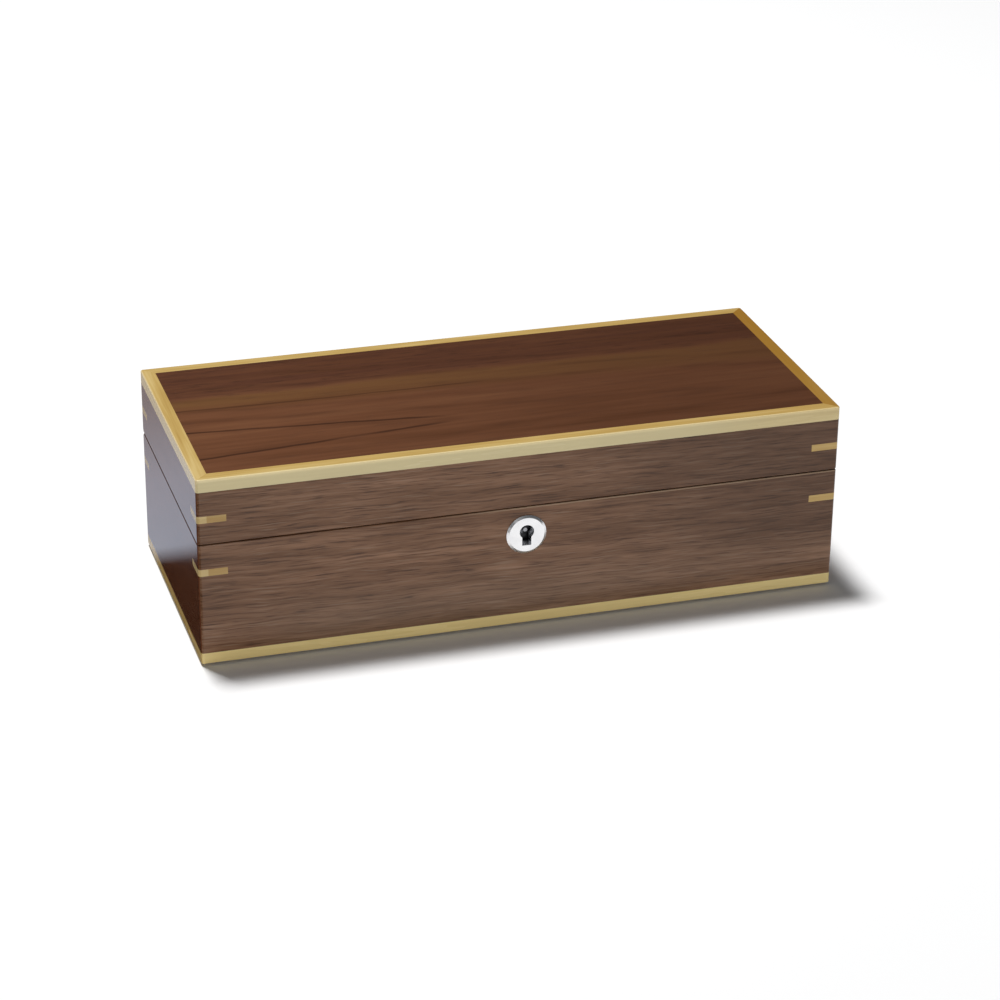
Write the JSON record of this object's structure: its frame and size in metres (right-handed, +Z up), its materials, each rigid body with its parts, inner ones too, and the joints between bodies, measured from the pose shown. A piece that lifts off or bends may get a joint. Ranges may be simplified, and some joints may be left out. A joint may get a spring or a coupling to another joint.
{
  "type": "watch box",
  "caption": "Long hinged walnut watch box with pale edging and corner keys, a lock in the front and a row of removable watch cushions.",
  "frame": {"origin": "middle of the underside of the case, on the table", "axes": "+X along the box, to the right seen from the front; +Y from the front with the keyhole to the back with the hinges; +Z up"},
  "size_m": [0.32, 0.1382, 0.0968],
  "materials": {
    "walnut": "satin lacquer over walnut veneer",
    "maple": "satin lacquer over pale solid wood",
    "board": "plain board",
    "felt": "felt",
    "lining_velvet": "short pile velvet",
    "cushion_velvet": "short pile velvet over foam",
    "polished_metal": "polished",
    "plated_metal": "plated, satin",
    "steel": "rolled sheet and turned pins"
  },
  "bodies": {
    "base": {"base_back_wall": "walnut", "base_bottom_panel": "board", "base_corner_keys": "maple", "base_edging_back": "maple", "base_edging_front": "maple", "base_edging_left": "maple", "base_edging_right": "maple", "base_felt": "felt", "base_front_wall": "walnut", "base_left_wall": "walnut", "base_lining_back": "lining_velvet", "base_lining_front": "lining_velvet", "base_lining_left": "lining_velvet", "base_lining_right": "lining_velvet", "base_right_wall": "walnut", "divider_1": "lining_velvet", "divider_2": "lining_velvet", "divider_3": "lining_velvet", "divider_4": "lining_velvet", "floor_lining": "lining_velvet", "hinge_base_screws": "plated_metal", "hinge_left_base_leaf": "plated_metal", "hinge_pins": "steel", "hinge_right_base_leaf": "plated_metal", "keyhole_escutcheon": "polished_metal", "lock_cap": "steel", "lock_case": "steel", "lock_drill_pin": "steel", "lock_rivets": "steel", "lock_screws": "plated_metal", "lock_spring": "steel"},
    "lid": {"hinge_left_lid_leaf": "plated_metal", "hinge_lid_screws": "plated_metal", "hinge_right_lid_leaf": "plated_metal", "lid_back_wall": "walnut", "lid_corner_keys": "maple", "lid_edging_back": "maple", "lid_edging_front": "maple", "lid_edging_left": "maple", "lid_edging_right": "maple", "lid_front_wall": "walnut", "lid_left_wall": "walnut", "lid_lining_back": "lining_velvet", "lid_lining_front": "lining_velvet", "lid_lining_left": "lining_velvet", "lid_lining_right": "lining_velvet", "lid_pad": "lining_velvet", "lid_panel": "walnut", "lid_right_wall": "walnut", "lock_strike": "plated_metal", "strike_screws": "plated_metal"},
    "bolt": {"lock_bolt": "steel"},
    "cushion_1": {"watch_cushion_1": "cushion_velvet"},
    "cushion_2": {"watch_cushion_2": "cushion_velvet"},
    "cushion_3": {"watch_cushion_3": "cushion_velvet"},
    "cushion_4": {"watch_cushion_4": "cushion_velvet"},
    "cushion_5": {"watch_cushion_5": "cushion_velvet"}
  },
  "joints": [
    {"name": "lid_hinge", "type": "hinge", "parent": "base", "child": "lid", "pos_m": [0, 0.0655, 0.0634], "axis": [-1, 0, 0], "range_deg": [0, 98]},
    {"name": "bolt_slide", "type": "slide", "parent": "base", "child": "bolt", "axis": [1, 0, 0], "range_m": [0, 0.005]},
    {"name": "cushion_1_lift", "type": "slide", "parent": "base", "child": "cushion_1", "axis": [0, 0, 1], "range_m": [0, 0.03]},
    {"name": "cushion_2_lift", "type": "slide", "parent": "base", "child": "cushion_2", "axis": [0, 0, 1], "range_m": [0, 0.03]},
    {"name": "cushion_3_lift", "type": "slide", "parent": "base", "child": "cushion_3", "axis": [0, 0, 1], "range_m": [0, 0.03]},
    {"name": "cushion_4_lift", "type": "slide", "parent": "base", "child": "cushion_4", "axis": [0, 0, 1], "range_m": [0, 0.03]},
    {"name": "cushion_5_lift", "type": "slide", "parent": "base", "child": "cushion_5", "axis": [0, 0, 1], "range_m": [0, 0.03]}
  ]
}
